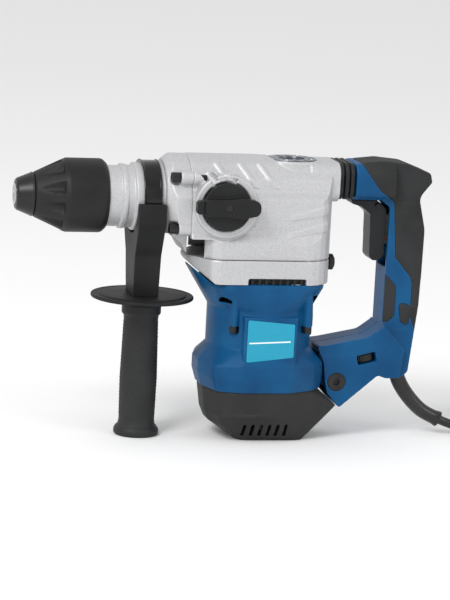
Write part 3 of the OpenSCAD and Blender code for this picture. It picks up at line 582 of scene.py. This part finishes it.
def gripPiece(plan):
    # diamond knurl between two smooth margins
    line = spaced(rounded(plan["line"], 1.0), 0.62)
    piece = latheSolid("sideGrip", line, (gripX, 0, 0), (0, 0, 1), 210)
    for vertex in piece.data.vertices:
        x, y, z = vertex.co.x / mm - gripX, vertex.co.y / mm, vertex.co.z / mm
        radius = math.hypot(x, y)
        if radius < 12.5 or not plan["knurlFrom"] - 1 < z < plan["knurlTo"] + 1:
            continue
        turn = math.atan2(y, x) * plan["across"] / (2 * math.pi)
        rise = z / plan["pitch"]
        ridge = abs((turn + rise / 2) % 1 - 0.5) + abs((turn - rise / 2) % 1 - 0.5)
        share = min(1.0, max(0.0, min(z - plan["knurlFrom"], plan["knurlTo"] - z)))
        target = radius + (ridge - 0.6) * plan["depth"] * 1.6 * share
        vertex.co.x, vertex.co.y = (x / radius * target + gripX) * mm, y / radius * target * mm
    smoothShade(piece, 45)
    return settle(piece, "grip", ["side_grip"], finishes["gripRubber"])


bandPiece(bandPlan)
discPiece(discPlan)
gripPiece(gripPlan)
softCopy("handle_yoke", "handleYoke", "yokePlastic", voxel=0.6, rounds=2, keep=0.4, shade=25)
print("side handle shaped")

# castings
housingPlan = {
    "seam": {"z": 161.6, "width": 1.0, "depth": 0.5},
    "knob": {"x": -44, "z": 207.5, "ring": 24.2, "dish": (27, 31), "dishDepth": 0.5},
    "ribs": {"starts": (-49, -28, -11), "low": 222, "high": 242.5, "lean": 0.7, "width": 3.4, "rise": 1.0},
    "feathers": {"feet": (182, 196.5), "tip": 11, "end": 53, "slope": 0.24, "half": 2.2, "spread": 0.075,
                 "rise": 0.9},
    "cap": {"x": 21.7, "seat": 25, "ring": 26.6, "z": 243},
}
basePlan = {"seamZ": 160.6, "width": 0.9, "depth": 0.4}


def sideLines(place, plan):
    # the seam, the ring round the knob and the shallow dish beside it
    x, y, z = place
    seam, knob = plan["seam"], plan["knob"]
    depth = groove(z, seam["z"], seam["width"], seam["depth"])
    reach = math.hypot(x - knob["x"], z - knob["z"])
    if y < -41:
        depth += groove(reach, knob["ring"], 1.0, 0.25)
    if y > -46 and knob["dish"][0] < reach < knob["dish"][1] and x > -40 and z < 200:
        depth -= knob["dishDepth"]
    return depth


def shoulderRibs(place, plan):
    # slanted ribs over the shoulder
    x, _, z = place
    return sum(-groove(x - (240 - z) * plan["lean"], start, plan["width"], plan["rise"])
               for start in plan["starts"])


def sideFeathers(place, plan):
    # raised feathers that fade out towards the knob
    x, _, z = place
    past = x - plan["tip"]
    depth = 0.0
    for foot in plan["feet"]:
        share = 1 - abs(z - foot - plan["slope"] * (x - 12)) / (plan["half"] + past * plan["spread"])
        depth += plan["rise"] * min(1.0, max(0.0, share * 3)) * min(1.0, past / 5)
    return depth


def housingSkin(place, normal):
    x, y, z = place
    ribs, feathers, cap = (housingPlan[k] for k in ("ribs", "feathers", "cap"))
    depth = 0.0
    if abs(y) > 26 and abs(normal.y) > 0.3:
        depth += sideLines(place, housingPlan)
    if abs(y) > 20 and ribs["low"] < z < ribs["high"]:
        depth += shoulderRibs(place, ribs)
    if abs(y) > 34 and feathers["tip"] < x < feathers["end"]:
        depth += sideFeathers(place, feathers)
    reach = math.hypot(x - cap["x"], y)
    if z > cap["z"] and reach > cap["seat"]:
        depth += groove(reach, cap["ring"], 1.0, 0.3)
    return depth


def baseSkin(place, normal):
    x, y, z = place
    if abs(y) > 20 or x < -50:
        return groove(z, basePlan["seamZ"], basePlan["width"], basePlan["depth"])
    return 0.0


softCopy("gear_housing", "gearHousing", "castPaint",
         voxel=0.85, rounds=3, keep=0.4, shade=50, carve=housingSkin)
softCopy("gearbox_base", "gearboxBase", "castPaint",
         voxel=0.8, rounds=3, keep=0.4, shade=50, carve=baseSkin)
softCopy("nose_casting", "noseCasting", "castPaint", voxel=0.75, rounds=2, keep=0.4, shade=50)


markPlan = {
    "modeMarkLeft": {"low": (-71.0, 202.5), "high": (-64.8, 212.5), "bars": [(-69.2, 205, -66.6, 210)]},
    "modeMarkRight": {"low": (-17.8, 201.5), "high": (-7.2, 212.5),
                      "bars": [(-15.8, 204, -14.4, 210), (-13.2, 206.4, -9.2, 207.6),
                               (-11.6, 203.6, -10.6, 206), (-11.6, 208.2, -10.6, 210.4)]},
}


def modeMark(name, plan):
    # a raised frame with plain raised bars in it, thin as a cast mark
    low, high = plan["low"], plan["high"]
    y = -40.3
    rim = 0.75
    parts = [blockBetween((low[0], y - 0.35, low[1]), (low[0] + rim, y + 0.8, high[1]), 0.2),
             blockBetween((high[0] - rim, y - 0.35, low[1]), (high[0], y + 0.8, high[1]), 0.2),
             blockBetween((low[0], y - 0.35, low[1]), (high[0], y + 0.8, low[1] + rim), 0.2),
             blockBetween((low[0], y - 0.35, high[1] - rim), (high[0], y + 0.8, high[1]), 0.2)]
    for bar in plan["bars"]:
        parts.append(blockBetween((bar[0], y - 0.3, bar[1]), (bar[2], y + 0.8, bar[3]), 0.25))
    onlySelect(*parts)
    bpy.ops.object.join()
    piece = bpy.context.object
    piece.name = name
    smoothShade(piece, 40)
    settle(piece, "root", (), finishes["castPaint"])


for markName, mark in markPlan.items():
    modeMark(markName, mark)
print("castings softened")

# mode knob and small parts on the housing
softCopy("selector_knob", "selectorKnob", "knobPlastic", voxel=0.4, rounds=2, keep=0.35, shade=30)
softCopy("selector_button", "selectorButton", "knobPlastic", voxel=0.25, rounds=2, keep=0.6, shade=30)
softCopy("nose_screws", "noseScrews", "blackOxide", voxel=0.25, rounds=1, keep=0.5, shade=35)
softCopy("knob_screw", "knobScrew", "blackOxide", voxel=0.2, rounds=1, keep=0.6, shade=35)
softCopy("oil_cap", "oilCap", "capAlloy", voxel=0.4, rounds=2, keep=0.4, shade=30)
softCopy("housing_plug", "housingPlug", "blackOxide", voxel=0.3, rounds=2, keep=0.5, shade=30)

# motor
motorPlan = {"seamZ": 47.0, "width": 0.9, "depth": 0.3}


def motorSkin(place, normal):
    x, y, z = place
    if abs(y) < 47 and x > 30:
        return groove(z, motorPlan["seamZ"], motorPlan["width"], motorPlan["depth"])
    return 0.0


softCopy("motor_housing", "motorHousing", "bluePlastic",
         voxel=0.8, rounds=3, keep=0.4, shade=38, carve=motorSkin)
softCopy("end_cap", "endCap", "capPlastic", voxel=0.7, rounds=2, keep=0.35, shade=30)
softCopy("motor_screws", "motorScrews", "blackOxide", voxel=0.25, rounds=1, keep=0.5, shade=35)
softCopy("label_plate", "labelPlate", "labelFace", voxel=0.3, rounds=1, keep=0.4, shade=30)
softCopy("vent_grille", "ventGrille", "capPlastic", voxel=0.4, rounds=2, keep=0.5, shade=30)
print("motor shaped")

# handle
softCopy("handle_left_shell", "leftShell", "bluePlastic", voxel=0.75, rounds=3, keep=0.4, shade=35)
softCopy("handle_right_shell", "rightShell", "bluePlastic", voxel=0.75, rounds=3, keep=0.4, shade=35)
softCopy("grip_overmould", "gripOvermould", "softRubber", voxel=0.75, rounds=3, keep=0.4, shade=40)
softCopy("pivot_bolt", "pivotBolt", "blackOxide", voxel=0.25, rounds=1, keep=0.5, shade=35)
softCopy("trigger", "triggerPiece", "triggerPlastic", voxel=0.5, rounds=3, keep=0.4, shade=35)
bellowsPiece = softCopy("bellows", "bellowsPiece", "bellowsRubber",
                        voxel=0.55, rounds=3, keep=0.5, shade=40, ride=False)
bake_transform(bellowsPiece)
softCopy("speed_dial", "speedDial", "plugPlastic", voxel=0.25, rounds=1, keep=0.6, shade=30)
mainsPlug = softCopy("plug", "mainsPlug", "plugPlastic", voxel=0.6, rounds=4, keep=0.5, shade=45)
print("handle shaped")

# cord
cordPlan = {
    "guardRoute": [(126, 0, 66), (128, 0, 55), (133, 0, 44), (142, 0, 32), (154, 0, 21), (169, 0, 13.5)],
    "route": [(169.4, 0, 13.3), (176, 0, 10.6), (185, -1, 7.6), (196, -5, 5.2), (208, -13, 4.1),
              (219, -24, 4.1), (229, -36, 4.1)],
    "coilCentre": (268, 0),
    "columns": (52, 44, 36),
    "layers": 4,
    "diameter": 8,
    "turns": 10.35,
    "stepsPerTurn": 48,
    "toPlug": [(315.5, -8, 28.6), (318, 5, 31), (315.5, 20, 35.5), (309, 32, 40), (301, 38.5, 43.2),
               (296, 40, 44)],
    "guardRadius": 7.0,
    "guardTaper": 0.8,
    "guardLip": (6.3, 6.6, 7.0, 7.2),
}


def smoothRun(points, steps):
    # a smooth curve through the points
    run = []
    for i in range(len(points) - 1):
        a, b, c, d = (Vector(points[min(max(k, 0), len(points) - 1)]) for k in (i - 1, i, i + 1, i + 2))
        for k in range(steps):
            t = k / steps
            run.append(0.5 * (2 * b + (c - a) * t + (2 * a - 5 * b + 4 * c - d) * t * t
                              + (3 * b - a - 3 * c + d) * t * t * t))
    run.append(Vector(points[-1]))
    return run


def coilRun(plan):
    # turns wound in to the middle, up a layer and out again
    centreX, centreY = plan["coilCentre"]
    places = []
    for layer in range(plan["layers"]):
        columns = plan["columns"] if layer % 2 == 0 else plan["columns"][::-1]
        places += [(radius, plan["diameter"] * (layer + 0.5)) for radius in columns]
    entry = plan["route"][-1]
    start = math.atan2(entry[1] - centreY, entry[0] - centreX)
    steps, run = plan["stepsPerTurn"], []
    # the first steps are left to the curve that leads in
    for k in range(3, int(plan["turns"] * steps) + 1):
        turn = k / steps
        here, share = places[int(turn)], max(0.0, (turn % 1 - 0.7) / 0.3)
        share = share * share * (3 - 2 * share)
        there = places[min(int(turn) + 1, len(places) - 1)]
        radius = here[0] + (there[0] - here[0]) * share
        height = here[1] + (there[1] - here[1]) * share
        angle = start + 2 * math.pi * turn
        run.append(Vector((centreX + radius * math.cos(angle), centreY + radius * math.sin(angle), height)))
    return run


def sweptTube(name, points, radii, sides):
    # rings carried along the line without twisting
    mesh = bmesh.new()
    rings, side = [], Vector((0, 1, 0))
    for i, point in enumerate(points):
        heading = (points[min(i + 1, len(points) - 1)] - points[max(i - 1, 0)]).normalized()
        side = (side - heading * side.dot(heading)).normalized()
        other = heading.cross(side)
        radius = radii[i]
        rings.append([mesh.verts.new((point + radius * (math.cos(a) * side + math.sin(a) * other)) * mm)
                      for a in (2 * math.pi * k / sides for k in range(sides))])
    for a, b in zip(rings, rings[1:]):
        for k in range(sides):
            mesh.faces.new((a[k], a[(k + 1) % sides], b[(k + 1) % sides], b[k]))
    mesh.faces.new(rings[0][::-1])
    mesh.faces.new(rings[-1])
    data = bpy.data.meshes.new(name)
    mesh.to_mesh(data)
    mesh.free()
    piece = bpy.data.objects.new(name, data)
    bpy.context.collection.objects.link(piece)
    tidyNormals(piece)
    smoothShade(piece, 50)
    return piece


def guardPiece(plan):
    line = smoothRun(plan["guardRoute"], 8)
    count, lip = len(line), plan["guardLip"]
    radii = [plan["guardRadius"] - plan["guardTaper"] * i / count for i in range(count)]
    radii[-len(lip):] = lip
    piece = sweptTube("cordGuard", line, radii, 40)
    return settle(piece, "handle", ["cord_guard"], finishes["cordSheath"])


def cordPiece(plan):
    line = smoothRun(plan["route"], 6) + coilRun(plan)
    line += smoothRun(plan["toPlug"], 6)[1:]
    piece = sweptTube("mainsCord", line, [plan["diameter"] / 2] * len(line), 20)
    settle(piece, "handle", ["cord", "cord_coil"], finishes["cordSheath"])
    length = sum((b - a).length for a, b in zip(line, line[1:])) * mm
    print("cord length", round(length, 3))
    line[0] * mm
    [p * mm for p in line]


cordGuard = guardPiece(cordPlan)
cordPiece(cordPlan)
print("cord laid")

# stage and light
stagePlan = {
    "aim": (-0.03, 0, 0.12),
    "floor": (0.93, 0.93, 0.93, 1),
    "sky": 0.8,
    "lamps": {
        "keyLamp": {"place": (-1.6, -1.7, 2.1), "size": 1.0, "power": 50},
        "fillLamp": {"place": (1.9, -1.6, 1.2), "size": 1.2, "power": 10},
    },
}


def setStage(plan):
    bpy.ops.object.select_all(action="DESELECT")
    bpy.ops.mesh.primitive_plane_add(size=12, location=(0, 0, 0))
    floor = bpy.context.object
    floor.name = "studioFloor"
    paper = Finish("floorPaper")
    floor.data.materials.append(paper.surface(colour=plan["floor"], rough=0.9, shine=0.05))
    world = bpy.data.worlds.new("studioWorld")
    bpy.context.scene.world = world
    world.use_nodes = True
    world.node_tree.nodes["Background"].inputs["Color"].default_value = (1, 1, 1, 1)
    world.node_tree.nodes["Background"].inputs["Strength"].default_value = plan["sky"]
    for name, lamp in plan["lamps"].items():
        toward = Vector(plan["aim"]) - Vector(lamp["place"])
        bpy.ops.object.light_add(type="AREA", location=lamp["place"],
                                 rotation=toward.to_track_quat("-Z", "Y").to_euler())
        light = bpy.context.object
        light.name = name
        light.data.energy = lamp["power"]
        light.data.size = lamp["size"]
    bpy.context.scene.view_settings.view_transform = "Standard"


setStage(stagePlan)
print("stage lit")
